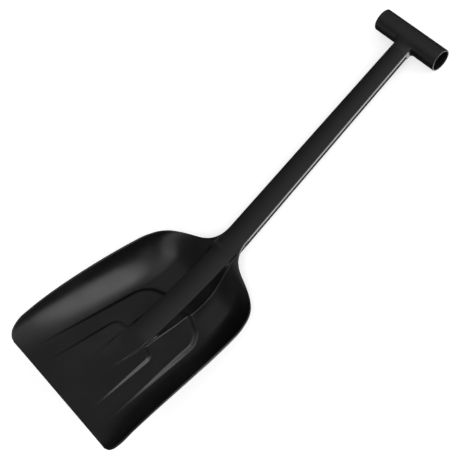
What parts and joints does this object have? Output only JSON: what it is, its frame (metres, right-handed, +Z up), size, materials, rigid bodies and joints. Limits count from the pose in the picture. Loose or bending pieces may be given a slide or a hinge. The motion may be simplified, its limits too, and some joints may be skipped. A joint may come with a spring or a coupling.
{
  "type": "avalanche shovel",
  "caption": "Compact one-hand snow scoop: deep blade with stepped floor and raised nose, flat tapered shaft, open tubular T-grip.",
  "frame": {"origin": "on the ground plane, at the middle of the overall box in X and Y", "axes": "+X across the blade to the right, +Y along the shaft from the blade to the grip, +Z up, out of the scoop's open side, with the shovel lying on its back"},
  "size_m": [0.2234, 0.651, 0.1245],
  "materials": {
    "blade_plastic": "moulded black, semi-matte",
    "shaft_plastic": "moulded black, semi-matte",
    "grip_plastic": "moulded black, semi-matte",
    "cover_plastic": "moulded black, fine grain",
    "inner_plastic": "moulded dark grey, unpolished",
    "core_alloy": "drawn, satin",
    "screw_steel": "blackened, worn bright at the edges"
  },
  "bodies": {
    "root": {"blade": "blade_plastic", "heel_cover": "cover_plastic", "cover_screws": "screw_steel", "socket_block": "inner_plastic", "core_tube": "core_alloy", "core_pin": "screw_steel", "core_bushes": "inner_plastic", "shaft_front": "shaft_plastic", "shaft_back": "shaft_plastic", "grip_tube": "grip_plastic", "grip_stem": "core_alloy", "grip_screw": "screw_steel"}
  },
  "joints": []
}
